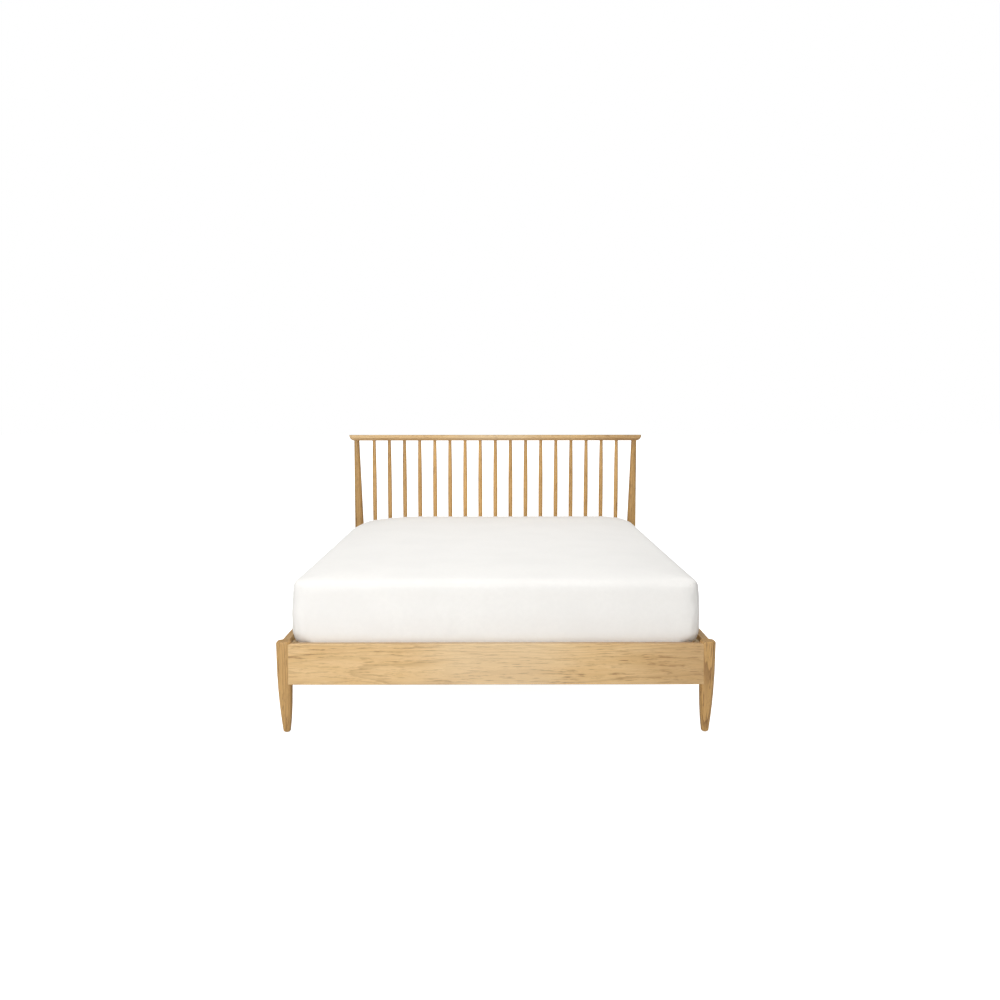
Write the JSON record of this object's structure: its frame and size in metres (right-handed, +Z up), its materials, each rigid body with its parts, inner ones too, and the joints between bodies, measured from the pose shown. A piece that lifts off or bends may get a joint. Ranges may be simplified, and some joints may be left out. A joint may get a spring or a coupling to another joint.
{
  "type": "spindle bed",
  "caption": "Low wooden platform bed with a turned-spindle headboard, tapered legs, a slatted deck with middle support, and a mattress in a white fitted sheet that lifts off.",
  "frame": {"origin": "on the floor, under the middle of the bed's outer box", "axes": "+X to the right seen from the foot, +Y from the foot to the headboard, +Z up"},
  "size_m": [1.699, 2.136, 1.0455],
  "materials": {
    "oak": "satin",
    "deck_wood": "matte",
    "zinc_steel": "satin",
    "leveler_plastic": "matte",
    "glide_nylon": "satin",
    "webbing": "matte",
    "ticking": "matte",
    "white_cotton": "matte"
  },
  "bodies": {
    "frame": {"crest_rail": "oak", "head_rail": "oak", "foot_rail": "oak", "headboard_post_left": "oak", "headboard_post_right": "oak", "foot_leg_left": "oak", "foot_leg_right": "oak", "side_rail_left": "oak", "side_rail_right": "oak", "spindle_01": "oak", "spindle_02": "oak", "spindle_03": "oak", "spindle_04": "oak", "spindle_05": "oak", "spindle_06": "oak", "spindle_07": "oak", "spindle_08": "oak", "spindle_09": "oak", "spindle_10": "oak", "spindle_11": "oak", "spindle_12": "oak", "spindle_13": "oak", "spindle_14": "oak", "spindle_15": "oak", "spindle_16": "oak", "spindle_17": "oak", "ledger_left": "deck_wood", "ledger_right": "deck_wood", "centre_beam": "deck_wood", "centre_leg_1": "deck_wood", "centre_leg_2": "deck_wood", "slat_01": "deck_wood", "slat_02": "deck_wood", "slat_03": "deck_wood", "slat_04": "deck_wood", "slat_05": "deck_wood", "slat_06": "deck_wood", "slat_07": "deck_wood", "slat_08": "deck_wood", "slat_09": "deck_wood", "slat_10": "deck_wood", "slat_11": "deck_wood", "slat_12": "deck_wood", "slat_13": "deck_wood", "beam_hanger_foot": "zinc_steel", "beam_hanger_head": "zinc_steel", "corner_plate_foot_left": "zinc_steel", "corner_plate_foot_right": "zinc_steel", "corner_plate_head_left": "zinc_steel", "corner_plate_head_right": "zinc_steel", "hanger_bolts": "zinc_steel", "flange_nuts": "zinc_steel", "wood_screws": "zinc_steel", "leg_glides": "glide_nylon", "slat_strap_left": "webbing", "slat_strap_right": "webbing"},
    "bedding": {"mattress": "ticking", "fitted_sheet": "white_cotton"},
    "leveler_1": {"leveler_1": "leveler_plastic"},
    "leveler_2": {"leveler_2": "leveler_plastic"}
  },
  "joints": [
    {"name": "mattress_lift", "type": "slide", "parent": "frame", "child": "bedding", "axis": [0, 0, 1], "range_m": [0, 0.4]},
    {"name": "leveler_1_screw", "type": "slide", "parent": "frame", "child": "leveler_1", "axis": [0, 0, -1], "range_m": [0, 0.015]},
    {"name": "leveler_2_screw", "type": "slide", "parent": "frame", "child": "leveler_2", "axis": [0, 0, -1], "range_m": [0, 0.015]}
  ]
}
